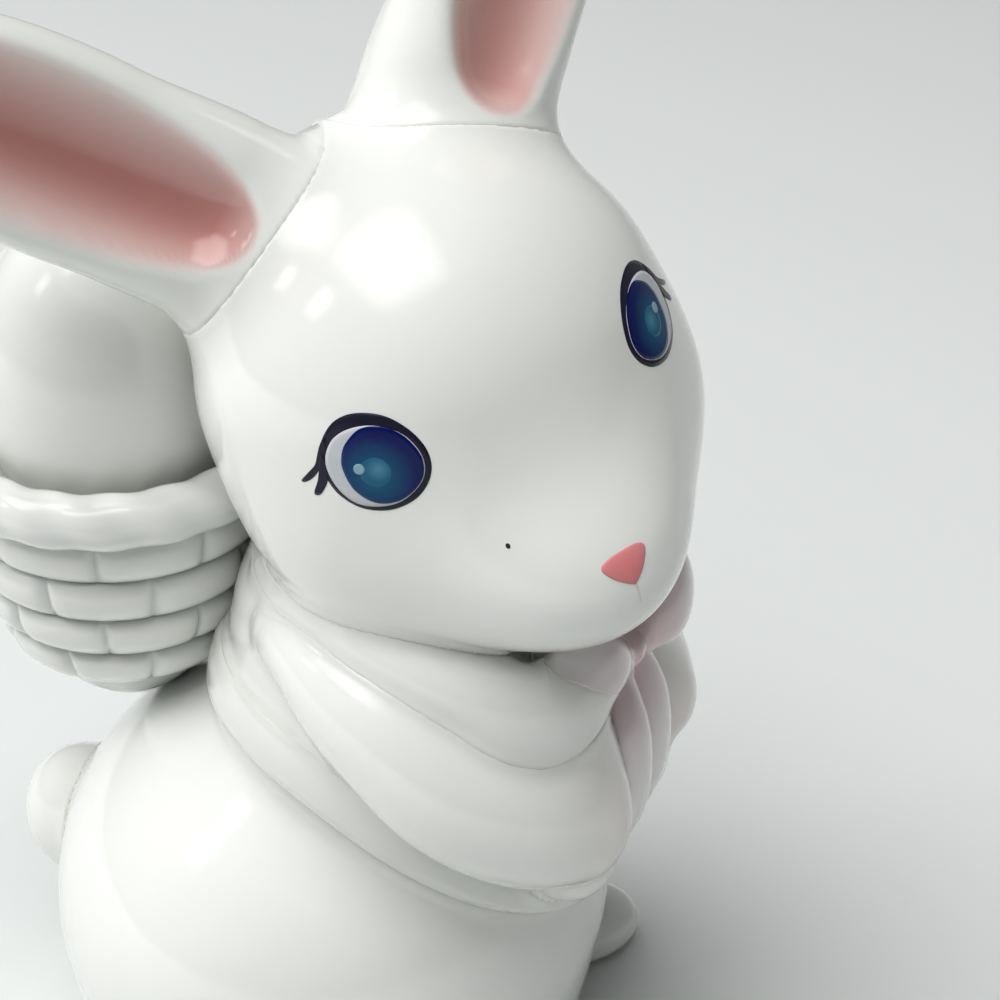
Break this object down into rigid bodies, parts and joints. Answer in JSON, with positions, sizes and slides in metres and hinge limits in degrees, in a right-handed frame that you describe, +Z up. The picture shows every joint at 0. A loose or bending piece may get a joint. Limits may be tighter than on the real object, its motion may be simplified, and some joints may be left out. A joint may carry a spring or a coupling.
{
  "type": "ceramic rabbit figurine",
  "caption": "Free-standing ornament: a sitting rabbit in a knotted shawl, with an egg in the woven basket on its back.",
  "frame": {"origin": "on the flat base, in the rabbit's middle plane", "axes": "+Z up, -Y the way the body faces, +X the rabbit's own left"},
  "size_m": [0.0937, 0.1195, 0.2158],
  "materials": {
    "white_glaze": "clear glossy glaze over white porcelain",
    "basket_glaze": "clear glossy glaze over white porcelain, pooled between the strands",
    "blush_glaze": "clear glossy glaze with a faint pink tint",
    "pink_glaze": "clear glossy glaze, airbrushed dusty pink inside the ears",
    "coral_glaze": "hand-painted coral under clear glaze"
  },
  "bodies": {
    "root": {"body_shell": "white_glaze", "head_shell": "white_glaze", "nose": "coral_glaze", "right_ear": "pink_glaze", "left_ear": "pink_glaze", "tail": "white_glaze", "right_foot": "white_glaze", "left_foot": "white_glaze", "shawl": "white_glaze", "shawl_hem_right": "white_glaze", "shawl_hem_left": "white_glaze", "right_arm": "white_glaze", "left_arm": "white_glaze", "right_paw": "white_glaze", "left_paw": "white_glaze", "shawl_collar_right": "white_glaze", "shawl_collar_left": "white_glaze", "bow_knot": "blush_glaze", "bow_tail_right": "blush_glaze", "bow_tail_left": "blush_glaze", "bow_loop_right": "blush_glaze", "bow_loop_left": "blush_glaze", "egg": "white_glaze", "basket_bowl": "basket_glaze", "basket_course_1": "basket_glaze", "basket_course_2": "basket_glaze", "basket_course_3": "basket_glaze", "basket_course_4": "basket_glaze", "basket_braid": "basket_glaze"}
  },
  "joints": []
}
